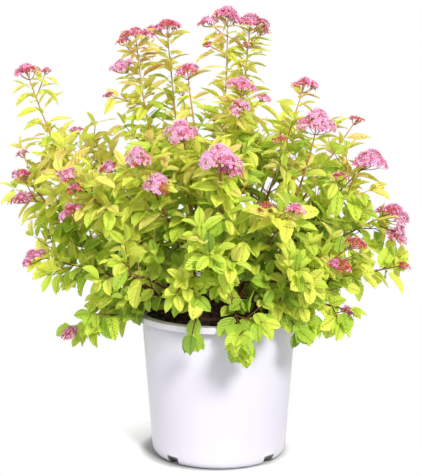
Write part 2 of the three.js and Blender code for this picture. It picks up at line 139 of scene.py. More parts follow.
def ringQuads(rings, columns):  # the four corners of each face between closed rings of points
    row, column = np.meshgrid(np.arange(rings - 1), np.arange(columns), indexing="ij")
    after = (column + 1) % columns
    corners = [(row, column), (row, after), (row + 1, after), (row + 1, column)]
    return np.stack([r * columns + c for r, c in corners], axis=-1).reshape(-1, 4)


def tubes(paths, radii, sides, relief=1):
    # rings of corners carried along each path of a stack, square to its tangent, and a cap on both ends
    stems, rings = paths.shape[:2]
    tangent = unit(np.gradient(paths, axis=1))
    guide = np.broadcast_to(guideFor(tangent)[:, rings // 2, None], tangent.shape)
    across = squareTo(guide, tangent)
    ring = turnedAbout(across[:, :, None], tangent[:, :, None], evenTurns(sides))
    points = paths[:, :, None] + ring * (radii[..., None] * relief)[..., None]
    caps = np.stack([np.arange(sides)[::-1], (rings - 1) * sides + np.arange(sides)])
    faceSets = [repeated(faces, rings * sides, stems) for faces in (ringQuads(rings, sides), caps)]
    return points.reshape(-1, 3), faceSets


def revolved(outline, angles, reshape):
    # an outline of (radius, height) from axis to axis, turned round Z, its first and last points being poles
    outline = np.asarray(outline)
    inner = outline[1:-1]
    rows, columns = len(inner), len(angles)
    radius, height = reshape(*(np.repeat(inner[:, k : k + 1], columns, axis=1) for k in (0, 1)), angles)
    points = np.stack([radius * np.cos(angles), radius * np.sin(angles), height], axis=-1).reshape(-1, 3)
    low, last = rows * columns, (rows - 1) * columns
    here = np.arange(columns)
    after = (here + 1) % columns
    lowFan = np.stack([np.full(columns, low), after, here], axis=-1)
    highFan = np.stack([np.full(columns, low + 1), last + here, last + after], axis=-1)
    poles = np.array([[0, 0, outline[0][1]], [0, 0, outline[-1][1]]])
    return np.concatenate([points, poles]), [ringQuads(rows, columns), np.concatenate([lowFan, highFan])]


def rounded(corners, steps):
    # (radius, height, fillet) corners joined by straight lines, each eased by a curve of its fillet's length
    spots = np.array([corner[:2] for corner in corners], dtype=float)
    line = [spots[:1]]
    for k in range(1, len(corners) - 1):
        before, here, after = spots[k - 1 : k + 2]
        size = corners[k][2]
        if size:
            start = here + unit(before - here) * size
            line.append(bowedPath(start, here, here + unit(after - here) * size, steps))
        else:
            line.append(here[None])
    return np.concatenate([*line, spots[-1:]])


class Wire:
    # a socket of a shader tree: sums, differences and products of wires and numbers add Math nodes
    def __init__(self, tree, socket=None):
        self.tree, self.socket = tree, socket

    def node(self, kind, settings=(), inputs=(), out=0):
        made = self.tree.nodes.new(kind)
        for name, value in dict(settings).items():
            if name == "stops":
                while len(made.color_ramp.elements) < len(value):
                    made.color_ramp.elements.new(0.5)
                for element, (place, colour) in zip(made.color_ramp.elements, value):
                    element.position, element.color = place, colour
            else:
                setattr(made, name, value)
        self.feed(made, inputs)
        return Wire(self.tree, made.outputs[out])

    def feed(self, made, inputs):
        for name, value in dict(inputs).items():
            if isinstance(value, Wire):
                self.tree.links.new(value.socket, made.inputs[name])
            else:
                made.inputs[name].default_value = value

    def maths(self, operation, *values):
        return self.node("ShaderNodeMath", {"operation": operation}, enumerate(values))

    def blended(self, factor, first, second):
        return self.node("ShaderNodeMix", {"data_type": "RGBA"}, {0: factor, 6: first, 7: second}, out=2)

    def __add__(self, other):
        return self.maths("ADD", self, other)

    def __radd__(self, other):
        return self.maths("ADD", other, self)

    def __sub__(self, other):
        return self.maths("SUBTRACT", self, other)

    def __rsub__(self, other):
        return self.maths("SUBTRACT", other, self)

    def __mul__(self, other):
        return self.maths("MULTIPLY", self, other)

    def __rmul__(self, other):
        return self.maths("MULTIPLY", other, self)


def colourOf(red, green, blue):  # a screen colour, 0 to 255, as the linear colour that shaders use
    share = np.array([red, green, blue]) / 255
    linear = np.where(share <= 0.04045, share / 12.92, ((share + 0.055) / 1.055) ** 2.4)
    return (*linear.tolist(), 1.0)


def startMaterial(name):
    material = bpy.data.materials.new(name)
    material.use_nodes = True
    tree = material.node_tree
    wire = Wire(tree)
    return material, wire, tree.nodes["Principled BSDF"], wire.node("ShaderNodeTexCoord", out="Object")


def noiseAt(wire, place, scale, detail=2.0, distortion=0.0):
    inputs = {"Vector": place, "Scale": scale, "Detail": detail, "Distortion": distortion}
    return wire.node("ShaderNodeTexNoise", inputs=inputs)


def stretchedNoise(wire, place, scale, detail):  # noise with a scale of its own along each axis
    return noiseAt(wire, wire.node("ShaderNodeMapping", inputs={"Vector": place, "Scale": scale}), 1, detail)


def component(wire, vector, axis):  # one number of a vector
    return wire.node("ShaderNodeSeparateXYZ", inputs={"Vector": vector}, out=axis)


def ranged(wire, value, low, high, kind="SMOOTHSTEP"):  # 0 where the value is low and 1 where it is high
    inputs = {"Value": value, "From Min": low, "From Max": high}
    return wire.node("ShaderNodeMapRange", {"interpolation_type": kind}, inputs)


def dress(wire, shader, colour, roughness, relief, depth):
    # the colour, the roughness, and a bump that tilts the surface as a relief of this depth would
    bump = wire.node("ShaderNodeBump", inputs={"Height": relief, "Distance": depth, "Strength": 1.0})
    wire.feed(shader, {"Base Color": colour, "Roughness": roughness, "Normal": bump})


def mixShaders(wire, shader, factor, other):  # the surface turns from the shader to another by this factor
    own = Wire(wire.tree, shader.outputs[0])
    both = wire.node("ShaderNodeMixShader", inputs={0: factor, 1: own, 2: other})
    wire.tree.links.new(both.socket, wire.tree.nodes["Material Output"].inputs["Surface"])


def letThrough(wire, shader, colour, glow):  # a blade passes on this share of the light, in this colour
    through = wire.node("ShaderNodeBsdfTranslucent", inputs={"Color": colourOf(*colour)})
    mixShaders(wire, shader, glow, through)


def skin(name, colour, grain, sheen, depth, glow=0):
    # one plain colour with a fine grain in its relief and in its roughness, from the first value of sheen up
    # by the second
    material, wire, shader, place = startMaterial(name)
    cells = noiseAt(wire, place, grain)
    dress(wire, shader, colourOf(*colour), sheen[0] + cells * sheen[1], cells, depth)
    if glow:
        letThrough(wire, shader, colour, glow)
    return material


# The pot: white moulded plastic with a hanging lip and drain notches round its lower corner.
potValues = {
    "height": 0.241,
    "footRadius": 0.111,
    "topRadius": 0.1273,
    "lipRadius": 0.1397,
    "lipDrop": 0.010,
    "wall": 0.0022,
    "floor": 0.003,
    "corner": 0.016,  # how far the wall curves in at its foot
    "recess": (0.082, 0.086, 0.0012),  # the underside stands on a ring round a recess: its radii and depth
    "notches": 4,
    "notchWidth": 0.022,
    "notchHeight": 0.013,
    "notchDepth": 0.017,
    "notchRim": 0.0006,
    "firstNotch": -133,  # degrees from +X
    "columns": 240,
    "wallRows": 24,
    "filletSteps": 7,
    "white": (199, 196, 206),
    "shade": (186, 182, 196),
    "coat": (0.08, 0.25),  # weight and roughness
    # painted shade: the dark colours of the notch walls stand in for the shadowed inside of the drain holes
    "paintedShadeColours": ((0.08, 0.075, 0.07, 1), (0.24, 0.23, 0.215, 1)),
}


def wallRadius(height):  # the wall tapers evenly from foot to top
    return mix(potValues["footRadius"], potValues["topRadius"], height / potValues["height"])


def whitePlastic():
    material, wire, shader, place = startMaterial("white_plastic")
    clouds = noiseAt(wire, place, 9, 3)
    grain = noiseAt(wire, place, 900)
    streaks = stretchedNoise(wire, place, (60, 60, 6), 3)
    colour = wire.blended(clouds * 0.35, colourOf(*potValues["white"]), colourOf(*potValues["shade"]))
    dress(wire, shader, colour, 0.3 + streaks * 0.16, grain + streaks * 2, 0.00006)
    weight, roughness = potValues["coat"]
    wire.feed(shader, {"Coat Weight": weight, "Coat Roughness": roughness})
    return material


# painted shade: a dark mottled grey-brown for the notch walls, in place of the shade inside the drain holes
def notchShade():
    material, wire, shader, place = startMaterial("notch_shade")
    shadeMottle = noiseAt(wire, place, 160, 4)
    dress(wire, shader, wire.blended(shadeMottle, *potValues["paintedShadeColours"]), 0.9, shadeMottle, 0.0006)
    return material


def buildPot():
    v = potValues
    wall, height, lip, drop, top = v["wall"], v["height"], v["lipRadius"], v["lipDrop"], v["topRadius"]
    corner, notchRadius, notchTop = v["corner"], wallRadius(0) - v["notchDepth"], v["notchHeight"]
    recess, ring, depth = v["recess"]
    outline = rounded(
        [
            (0, depth, 0),
            (recess, depth, 0.002),
            (ring, 0, 0.002),
            (notchRadius, 0, 0),
            (wallRadius(0) - 0.001, 0, corner * 0.94),
            (top, height - wall, 0.0012),
            (lip - wall, height - wall, 0.0008),
            (lip - wall, height - drop, 0.0009),
            (lip, height - drop, 0.0009),
            (lip, height, 0.0014),
            (top - wall, height, 0.0012),
            (wallRadius(corner) - wall, corner, 0.006),
            (wallRadius(corner) - corner, v["floor"], 0.004),
            (0, v["floor"], 0),
        ],
        v["filletSteps"],
    )
    outside = outline[: int(np.argmax(outline[:, 1])) + 1]
    steps = np.linspace(0.05, 0.95, v["wallRows"])[:, None]
    long = int(np.argmax(np.diff(outside[:, 1])))  # the wall's long straight stretch gets rows of its own
    outline = np.insert(outline, long + 1, outline[long] * (1 - steps) + outline[long + 1] * steps, axis=0)

    halfTurn = math.asin(v["notchWidth"] / 2 / wallRadius(0))
    centres = np.radians(v["firstNotch"] + np.arange(v["notches"]) * 360 / v["notches"])
    rim = v["notchRim"]
    edges = (centres[:, None] + np.array([-halfTurn - rim, -halfTurn, halfTurn, halfTurn + rim])).ravel()
    angles = np.sort(np.unique(np.concatenate([evenTurns(v["columns"]), edges % (2 * math.pi)])))

    def inNotch(turns):  # whether a turn lies within half a notch of any notch's middle
        gap = np.abs((turns[:, None] - centres + math.pi) % (2 * math.pi) - math.pi)
        return (gap < halfTurn + rim / 2).any(axis=1)

    # inside a notch, the outside's rows up to its top run up the notch's back and along its roof
    inner = outline[1:-1]
    onOutside = np.arange(len(inner)) < np.argmax(inner[:, 1])
    cutRows = (inner[:, 0] >= notchRadius - 1e-6) & (inner[:, 1] < notchTop) & onOutside
    share = np.cumsum(cutRows) / cutRows.sum()
    pathRadius = np.interp(share, [0, 0.4, 1], [notchRadius, notchRadius, wallRadius(notchTop)])
    pathHeight = np.interp(share, [0, 0.4, 1], [0, notchTop, notchTop])

    def cutNotches(radius, level, turns):
        cut = cutRows[:, None] & inNotch(turns)[None]
        return np.where(cut, pathRadius[:, None], radius), np.where(cut, pathHeight[:, None], level)

    points, (quads, fans) = revolved(outline, angles, cutNotches)
    columns = len(angles)
    # the notch faces take the painted-shade material
    dark = cutRows[quads[:, 0] // columns] & inNotch(angles)[quads[:, :2] % columns].any(axis=1)
    faceMaterials = np.concatenate([dark, np.zeros(len(fans), dtype=bool)])
    materials = [whitePlastic(), notchShade()]
    addPiece("pot_shell", points, [quads, fans], materials, ["pot"], faceMaterials)


# The soil: a settled mound of dark bark compost, with loose chips on top.
soilValues = {
    "edgeHeight": 0.225,
    "middleHeight": 0.231,
    "flatRadius": 0.062,
    "gap": 0.0007,  # clearance from the pot's wall
    "baseGap": 0.0004,  # and from its floor
    "rings": 60,
    "columns": 180,
    "lumpWaves": (140, 310, 560, 900),  # radians for each metre
    "lumpHeight": 0.0016,
    "chips": 420,
    "chipLength": 0.011,
    "compostColours": ((0.006, 0.004, 0.003, 1), (0.045, 0.026, 0.017, 1)),
    "chipColours": ((0.020, 0.011, 0.007, 1), (0.11, 0.06, 0.036, 1)),
    "seed": 5,
}


def soilEdge():  # the radius at which the soil meets the pot's wall
    return wallRadius(soilValues["edgeHeight"]) - potValues["wall"] - soilValues["gap"]


def soilHeight(radius):  # level in the middle, then falling evenly to the edge
    v = soilValues
    return np.interp(radius, [v["flatRadius"], soilEdge()], [v["middleHeight"], v["edgeHeight"]])


def compost(name, dark, light):  # crumbs of a dark and a lighter tone
    material, wire, shader, place = startMaterial(name)
    crumbs = noiseAt(wire, place, 190, 6, 0.6)
    flecks = noiseAt(wire, place, 620)
    ramp = wire.node("ShaderNodeValToRGB", {"stops": [(0.38, dark), (0.62, light)]}, {"Fac": crumbs})
    dress(wire, shader, ramp, 0.97, crumbs + flecks * 0.3, 0.0025)
    return material


def buildSoil():
    v = soilValues
    edge, corner = soilEdge(), potValues["corner"]
    foot = wallRadius(corner) - corner - potValues["wall"]
    base = potValues["floor"] + v["baseGap"]
    surface = [(r, soilHeight(r)) for r in np.linspace(edge, 0, v["rings"])]
    outline = [(0, base), (foot, base), (foot + 0.012, corner), *surface]

    def crumble(radius, level, turns):  # the top rises and falls by a sum of products of sines across it
        x, y = radius * np.cos(turns), radius * np.sin(turns)
        rough = sum(
            np.sin(x * f + 1.7 * k) * np.sin(y * f * 1.13 + 2.3 * k) / (k + 1.5)
            for k, f in enumerate(v["lumpWaves"])
        )
        onTop = (level > 0.2) & (radius < edge - 0.0005)
        return radius, level + onTop * (v["lumpHeight"] * rough - 0.001)

    points, faces = revolved(outline, evenTurns(v["columns"]), crumble)
    addPiece("soil_mound", points, faces, [compost("dark_compost", *v["compostColours"])], ["soil"])

    chance = np.random.default_rng(v["seed"])
    count = v["chips"]
    radius = np.sqrt(chance.uniform(0.1, 0.985, count)) * (edge - 0.008)
    turn = chance.uniform(0, 2 * math.pi, count)
    centre = np.stack([radius * np.cos(turn), radius * np.sin(turn), soilHeight(radius) + 0.0012], axis=-1)
    forward = heading(chance.uniform(0, 360, count), chance.uniform(-18, 18, count))
    face = squareTo(up + chance.normal(0, 0.25, (count, 3)), forward)
    side = np.cross(face, forward)
    size = chance.uniform(0.5, 1.25, (count, 1, 1)) * v["chipLength"]
    corners = np.array(  # a bevelled sliver, in shares of its length
        [
            [-0.5, -0.2, -0.08],
            [0.46, -0.14, -0.08],
            [0.5, 0.16, -0.07],
            [-0.42, 0.22, -0.08],
            [-0.44, -0.15, 0.08],
            [0.40, -0.10, 0.07],
            [0.42, 0.11, 0.08],
            [-0.36, 0.16, 0.07],
        ]
    )
    points = centre[:, None] + corners[None] * size @ np.stack([forward, side, face], axis=1)
    box = np.array([[0, 3, 2, 1], [4, 5, 6, 7], [0, 1, 5, 4], [1, 2, 6, 5], [2, 3, 7, 6], [3, 0, 4, 7]])
    faces, bark = [repeated(box, len(corners), count)], compost("bark_chip", *v["chipColours"])
    addPiece("bark_chips", points, faces, [bark], [], smooth=False)


# Each cane's name, heading (turn), how far out and how high its tip ends, its bow above a straight line
# (lift), the share of it that is bare, the width of its flower head, its blossom's tone, and side shoots
# that also flower: where on the cane, turn, rise, length, head width, tone. In millimetres and degrees.
canes = [
    ("top_left", 64, 33, 721, 6, 0.26, 52, "fresh", [
        (0.92, -180, 37, 41, 32, "fresh"),
        (0.86, -148, 23, 41, 16, "bud"),
    ]),
    ("top_right", 53, 87, 710, 20, 0.28, 56, "deep", [
        (0.9, 22, 44, 37, 30, "bud"),
        (0.86, -92, 47, 29, 16, "bud"),
    ]),
    ("crest_left", 172, 136, 690, -180, 0.28, 50, "deep", [
        (0.93, -180, 45, 36, 22, "bud"),
        (0.85, -163, 40, 44, 38, "open"),
        (0.78, -161, 18, 65, 16, "deep"),
    ]),
    ("crest_right", 145, 104, 702, -160, 0.31, 50, "deep", [(0.93, 162, 44, 44, 26, "deep")]),
    ("inner", -135, 71, 636, 6, 0.28, 42, "deep", []),
    ("far_left", 174, 315, 632, -175, 0.36, 46, "deep", [(0.92, 0, 68, 48, 18, "bud")]),
    ("mid_top", -69, 96, 615, 14, 0.26, 44, "fresh", [
        (0.84, 0, 41, 51, 24, "deep"),
        (0.86, -90, 26, 39, 32, "open"),
    ]),
    ("right_top", 8, 140, 610, -24, 0.31, 40, "fresh", []),
    ("right_full", -18, 163, 558, -105, 0.26, 62, "open", [(0.72, -153, 54, 75, 24, "bud")]),
    ("right_back", 27, 263, 543, 6, 0.28, 28, "bud", []),
    ("right_high", -5, 246, 493, 8, 0.28, 64, "fresh", [(0.75, -88, 52, 41, 30, "deep")]),
    ("right_wide", 4, 288, 399, 30, 0.21, 62, "fresh", [(0.85, -25, -16, 49, 38, "open")]),
    ("right_low", -6, 300, 320, 14, 0, 24, "bud", []),
    ("left_high", 179, 320, 465, -70, 0.28, 36, "bud", [
        (0.86, -159, 13, 43, 38, "fresh"),
        (0.88, -180, 67, 82, 22, "bud"),
    ]),
    ("left_mid", -173, 303, 336, 22, 0, 42, "fresh", []),
    ("left_back", 152, 277, 525, 4, 0.28, 24, "bud", []),
    ("front_high", -114, 143, 549, 14, 0.24, 52, "open", []),
    ("front_left", -128, 201, 514, 14, 0.21, 42, "open", [
        (0.78, -80, 18, 53, 40, "open"),
        (0.8, -180, 22, 71, 34, "fresh"),
    ]),
    ("front_mid", -90, 200, 517, 6, 0.21, 62, "open", [(0.86, -51, 30, 30, 34, "deep")]),
    ("left_front", -152, 265, 480, 10, 0, 30, "fresh", [
        (0.86, -136, 16, 30, 26, "deep"),
        (0.78, -161, -11, 46, 34, "fresh"),
    ]),
    ("front_red", -60, 227, 438, 24, 0, 28, "fresh", [(0.8, -159, 47, 40, 32, "bud")]),
    ("back_mid", 106, 235, 584, 20, 0.26, 24, "bud", []),
    ("back_right", 62, 250, 528, 20, 0.24, 24, "bud", []),
    ("right_front", -36, 231, 340, 37, 0, 42, "bud", [(0.8, 0, 35, 69, 36, "bud")]),
    ("rim_right", -24, 224, 258, 34, 0, 26, "deep", []),
    ("rim_front", -78, 176, 226, 62, 0, 0, "", []),
    ("rim_left", -104, 173, 238, 62, 0, 0, "", []),
    ("left_low", -168, 244, 214, 36, 0, 38, "fresh", []),
    ("rim_back_left", 124, 186, 236, 62, 0, 0, "", []),
    ("rim_back_right", 64, 188, 240, 62, 0, 0, "", []),
    ("low_back_left", 138, 300, 320, 50, 0, 36, "open", []),
    ("low_back", 92, 306, 350, 56, 0, 40, "fresh", []),
    ("low_back_right", 44, 304, 316, 50, 0, 36, "fresh", []),
    ("low_front", -94, 222, 372, 46, 0, 0, "", []),
    ("low_front_near", -112, 178, 300, 64, 0, 0, "", []),
    ("low_front_far", -48, 180, 238, 62, 0, 0, "", []),
    ("low_front_left", -142, 232, 318, 56, 0, 0, "", []),
    ("low_front_right", -52, 220, 318, 56, 0, 0, "", []),
]
# where along its line a cane bows, if not in the middle, and how leafy it is, if not 1
bowPlaces = {"far_left": 0.68, "crest_left": 0.78, "crest_right": 0.75, "right_full": 0.8}
leafiness = {
    "far_left": 0.85,
    "crest_left": 2.0,
    "crest_right": 1.2,
    "top_right": 1.65,
    "mid_top": 1.9,
    "front_high": 0.8,
    "inner": 0.4,
    "back_mid": 0.3,
    "back_right": 0.3,
    "left_high": 1.1,
    "left_mid": 1.35,
    "low_front_left": 0.4,
    "low_back_left": 0.35,
    "rim_back_left": 0.7,
    "left_low": 1.5,
    "rim_left": 0.3,
    "low_front_near": 0.55,
    "low_front_far": 0.8,
    "rim_right": 1.1,
    "right_back": 0.35,
    "right_full": 0.3,
    "right_high": 0.75,
    "right_wide": 1.1,
    "front_red": 0.8,
    "right_low": 0.7,
}
crownValues = {
    "radius": 0.057,
    "height": 0.028,
    "shoulder": 0.55,
    "edge": 0.2,
    "footReach": 0.004,
    "footSpread": 0.044,
    "footDepth": 0.006,
    "footSpacing": 0.0145,
    "rounds": 80,  # of pushing feet apart
    "colour": (74, 46, 34),
}


def crownTop(radius):  # a shallow cone with a steeper edge round it
    v = crownValues
    share = np.minimum(np.asarray(radius) / v["radius"], 1)
    fall = np.interp(share, [0, v["shoulder"], 1], [1, 0.8, v["edge"]])
    return soilValues["middleHeight"] + 0.0003 + v["height"] * fall


def caneFeet():
    # where canes leave the root crown: on the tip's side, further out the flatter they lie, and pushed apart
    v = crownValues
    feet = []
    for _, turn, reach, height, *_ in canes:
        steepness = math.atan2(height / 1000 - soilValues["middleHeight"], reach / 1000) / (math.pi / 2)
        feet.append(heading(turn) * (v["footReach"] + v["footSpread"] * (1 - max(steepness, 0)) ** 0.8))
    for _ in range(v["rounds"]):
        for i, a in enumerate(feet):
            for j, b in enumerate(feet):
                gap = math.dist(a, b)
                if i != j and gap <= v["footSpacing"]:
                    push = (b - a) * (0.3 * (v["footSpacing"] - gap) / gap)
                    b += push
                    a -= push
        for a in feet:
            a *= min(1, (v["radius"] - 0.009) / math.hypot(*a))
    for a in feet:
        a[2] = crownTop(math.hypot(a[0], a[1])) - v["footDepth"]
    return feet


growthValues = {
    "rim": 0.241,
    "fullHeight": 0.400,  # height above the rim where leaves are fewest
    "crownMiddle": (0.0, 0.0, 0.36),
    "crownRadii": (0.31, 0.25, 0.33),
    "crownShell": (0.30, 0.60),  # a spray counts as outside from this share of them, over this much more
    "stemSteps": (0.0100, 0.0040),  # distance between leaves at the rim and at full height, on a cane
    "twigSteps": (0.0082, 0.0095),  # the same on a side twig
    "twigTurn": 163,  # degrees from one leaf of a twig to the next; canes keep to the golden angle
    "sideTwigs": (4, 5),  # every so many leaves a cane, and a twig, bears a side twig
    "twigZone": 0.88,
    "twigCeiling": 0.500,  # above this height canes bear leaves alone
    "twigLengths": (0.084, 0.044),
    "twigRises": (-0.20, 0.20),  # low twigs hang and high ones rise
    "twigRiseFrom": (0.215, 0.06),  # the height where they begin to rise, and over how much more
    "twigTries": (7, 61),  # how often a twig is turned to clear the pot, and by how many degrees
    "potRooms": (0.004, 0.008),  # kept clear of the pot by leaves and by twigs
    "firstLeaf": 0.040,  # on a cane that hides its own foot
    "leafLengths": (0.045, 0.054, 0.046),  # at the rim, at two thirds of full height, and above it
    "leafWidths": (0.0270, 0.0146),  # at the rim and at full height, as are droopSpread, leans and rolls
    "leafSizes": (0.62, 1.14),  # the smallest and the largest, as shares of those
    "droops": (-0.95, -0.10, 0.10),  # a leaf's rise at the rim, a fifth of the way up, and at full height
    "droopSpread": (0.60, 0.55),
    "leans": (0.55, 0.22),
    "rolls": (0.55, 0.70),
    "outwardPull": 0.35,
    "lightPull": (1.2, 1.15),  # how much low leaves face the light, and how soon that ends with height
    "light": (0.0, -0.9, 0.0),
    "raises": (0, 0.5, 1.0, 1.8),  # how far a leaf is raised, one after the other, to clear the pot
    "uprightLeaf": 0.97,  # a leaf whose direction rises more than this faces away from its stem
    "axilLeaves": (0.45, 0.82, 0.55),  # small leaves: how many, up to where on the stem, and their size
    "twigTuft": (0.8, 0.7, 0.55),  # leaf sizes at a twig's end
    "caneTuft": (0.8, 0.7, 0.65, 0.55, 0.45),  # and at the end of a cane without a flower head
    "shadeRadius": 0.125,  # few leaves live near the root crown, nearer to the middle and lower than this
    "shadeHeight": 0.315,
    "shadeDepth": 0.38,  # nor inside the crown, nearer to its middle than this share of its size
    "shadeLoss": 0.8,
    "bareTwigs": (9, 0.10, 0.62, 0.075),  # dry twigs on a cane: how many, from and to where, their length
    # a spray's tint by number: to start with, more outside the crown, more if also high, more with height,
    # more at tips, and its spread
    # the darker tints that sprays deep inside the crown get are painted shade
    "sprayTints": (0.60, 1.25, 0.40, 1.65, 0.15, 0.60),
    "leafTintSpread": 0.65,
    "brightest": (2.4, 4),  # the brightest tint by number at the rim, and how many more at full height
    "seed": 15,
}
limbValues = {
    "footRadius": 0.0031,
    "tipRadius": 0.0008,
    "caneRings": 44,
    "caneSides": 10,
    "wobble": 0.0020,
    "twigRadii": (0.0011, 0.0006),  # at the twig's foot and tip
    "dryRadii": (0.0011, 0.0005),
    "shootRadii": (0.0012, 0.0009),
    "lightTwigs": 0.42,  # twigs that end above this share of full height are amber, the others brown
    "twigColours": {"twigs_amber": (184, 146, 74), "twigs_brown": (112, 66, 44)},
    "barkStops": (  # from the foot of the canes up
        (0.12, (66, 38, 30)),
        (0.42, (128, 78, 48)),
        (0.70, (178, 130, 74)),
        (0.95, (184, 152, 84)),
    ),
    "furrows": (58, 34, 26),
}
limbs = {"cane": [], "twig": [], "stalk": []}  # paths and radii
sprays = []  # arrays of leaves: root, direction, face, length, width, tint and height share
heads = []  # tip, axis, width and tone
chance = np.random.default_rng(growthValues["seed"])
tintNames = ["shaded", "deep", "green", "lime", "chartreuse", "gold", "amber"]


def heightShare(z):  # 0 at the rim and below, 1 at full height and hardly more above it
    return np.clip((z - growthValues["rim"]) / growthValues["fullHeight"], 0, 1.05)


def clearOfPot(points, room=growthValues["potRooms"][0]):  # over the lip, outside it, or above the soil
    flat = np.hypot(points[..., 0], points[..., 1])
    over = points[..., 2] > potValues["height"] + room
    outside = flat > potValues["lipRadius"] + room
    inside = (flat < potValues["topRadius"] - 0.008) & (points[..., 2] > soilValues["middleHeight"] + 0.004)
    return over | outside | inside


def crownDepth(points):  # 0 in the middle of the crown and 1 at its outside
    middle, radii = np.array(growthValues["crownMiddle"]), np.array(growthValues["crownRadii"])
    return np.linalg.norm((points - middle) / radii, axis=-1)


def dealTint(place, tipShare):
    # one tint for a spray: darker deep inside the crown as painted shade, lime outside, yellower with height
    # and towards the tips
    start, outer, outerHigh, higher, tip, spread = growthValues["sprayTints"]
    inner, over = growthValues["crownShell"]
    outside = np.clip((crownDepth(place) - inner) / over, 0, 1)
    high = float(heightShare(place[2])) ** 0.65
    even = start + outside * (outer + outerHigh * high) + higher * high + tip * tipShare
    return even + chance.normal(0, spread)


def addLeaves(roots, axes, angles, sizes, lean, tint):
    # leaves stand out square to the stem, lean along it, hang below or rise above, and face the light
    v, count = growthValues, len(roots)
    if count == 0:
        return
    high = heightShare(roots[:, 2])[:, None]
    outward = outwardOf(roots)
    lightward = unit(outward + np.array(v["light"]))
    pull, pullEnd = v["lightPull"]
    radial = turnedAbout(squareTo(np.broadcast_to(up, axes.shape), axes), axes, angles)
    along = mix(*v["leans"], high)
    droop = np.interp(high, [0, 0.2, 1], v["droops"])
    droop = droop + chance.uniform(-1, 1, (count, 1)) * mix(*v["droopSpread"], high)
    roll = chance.uniform(-1, 1, count) * mix(*v["rolls"], high[:, 0])
    length = np.interp(high[:, 0], [0, 0.65, 1.05], v["leafLengths"]) * sizes
    width = mix(*v["leafWidths"], high[:, 0]) * sizes * chance.uniform(0.9, 1.12, count)
    shaded = (np.hypot(roots[:, 0], roots[:, 1]) < v["shadeRadius"]) & (roots[:, 2] < v["shadeHeight"])
    shaded |= crownDepth(roots) < v["shadeDepth"]
    lost = shaded & (chance.uniform(size=count) < v["shadeLoss"])
    kept = np.zeros(count, dtype=bool)
    direction = face = None
    for rise in v["raises"]:  # a leaf that would enter the pot is raised, and left out if that isn't enough
        tried = radial + lean * along * axes + (droop + rise) * up
        tried = unit(tried + v["outwardPull"] * (1 - high) * outward)
        upright = np.abs(tried[:, 2:]) > v["uprightLeaf"]
        facing = np.where(upright, radial, up + pull * np.clip(1 - pullEnd * high, 0, 1) * lightward)
        facing = turnedAbout(squareTo(facing, tried), tried, roll)
        side = np.cross(facing, tried)
        spots = [roots + tried * (length * s)[:, None] for s in (0.35, 0.6, 0.8, 1.0)]
        middle = roots + tried * (length * 0.5)[:, None]
        spots += [middle + side * (width / 2)[:, None], middle - side * (width / 2)[:, None]]
        free = np.all([clearOfPot(spot) for spot in spots], axis=0)
        if direction is None:
            direction, face = tried, facing
        take = free & ~kept
        direction = np.where(take[:, None], tried, direction)
        face = np.where(take[:, None], facing, face)
        kept |= free
    lowest, more = v["brightest"]
    brightest = np.minimum(lowest + more * high[:, 0], len(tintNames) - 1)
    shade = np.round(np.clip(tint + chance.normal(0, v["leafTintSpread"], count), 0, brightest))
    rows = np.column_stack([roots, direction, face, length, width, shade, high[:, 0]])
    sprays.append(rows[kept & ~lost])


def addTuft(path, back, turns, sizes, lean, tint):
    # leaves round a stem's end, its axis taken from the end and a point so many places back
    count = len(sizes)
    axis = unit(path[-1:] - path[-back : 1 - back])
    addLeaves(np.repeat(path[-1:], count, axis=0), np.repeat(axis, count, axis=0), turns, sizes, lean, tint)


def stationsOn(path, first, last, steps, leafy=1.0):
    # distances along a path where the sum of leafiness x length / step passes whole numbers
    lengths = np.linalg.norm(np.diff(path, axis=0), axis=1)
    distance = np.concatenate([[0], np.cumsum(lengths)])
    step = mix(*steps, heightShare((path[1:, 2] + path[:-1, 2]) / 2)) / leafy
    pace = np.concatenate([[0], np.cumsum(lengths / step)])
    wanted = np.arange(np.interp(first, distance, pace), np.interp(distance[-1] - last, distance, pace), 1)
    stations = np.interp(wanted, pace, distance)
    roots = np.stack([np.interp(stations, distance, path[:, k]) for k in range(3)], axis=-1)
    slope = np.gradient(path, axis=0)
    axes = unit(np.stack([np.interp(stations, distance, slope[:, k]) for k in range(3)], axis=-1))
    return roots, axes, stations / distance[-1]


def addTwig(path, radii, scale=1):
    limbs["twig"].append((path, np.linspace(*radii, len(path)) * scale))


def growTwig(start, axis, angle, length, level, size):
    # a side twig that bends towards the light, or hangs if it is low, with its leaves and side twigs; it is
    # turned and shortened until it is clear of the pot
    riseFrom, over = growthValues["twigRiseFrom"]
    rise = mix(*growthValues["twigRises"], min(max((start[2] - riseFrom) / over, 0), 1))
    tries, apart = growthValues["twigTries"]
    for attempt in range(tries):
        radial = turnedAbout(squareTo(up, axis), axis, math.radians(angle + attempt * apart))
        direction = unit(radial + axis * (0.8 + 0.2 * attempt) + up * rise)
        reach = length * (1 - 0.08 * attempt)
        tip = start + direction * reach * 0.95 + up * reach * 0.7 * rise
        path = bowedPath(start, start + direction * reach * 0.55, tip)
        if clearOfPot(path, growthValues["potRooms"][1])[2:].all():
            break
    else:
        return
    addTwig(path, limbValues["twigRadii"], 1 if level == 1 else 0.75)
    growLeaves(path, reach * 0.22, 0.002, level, angle, size)


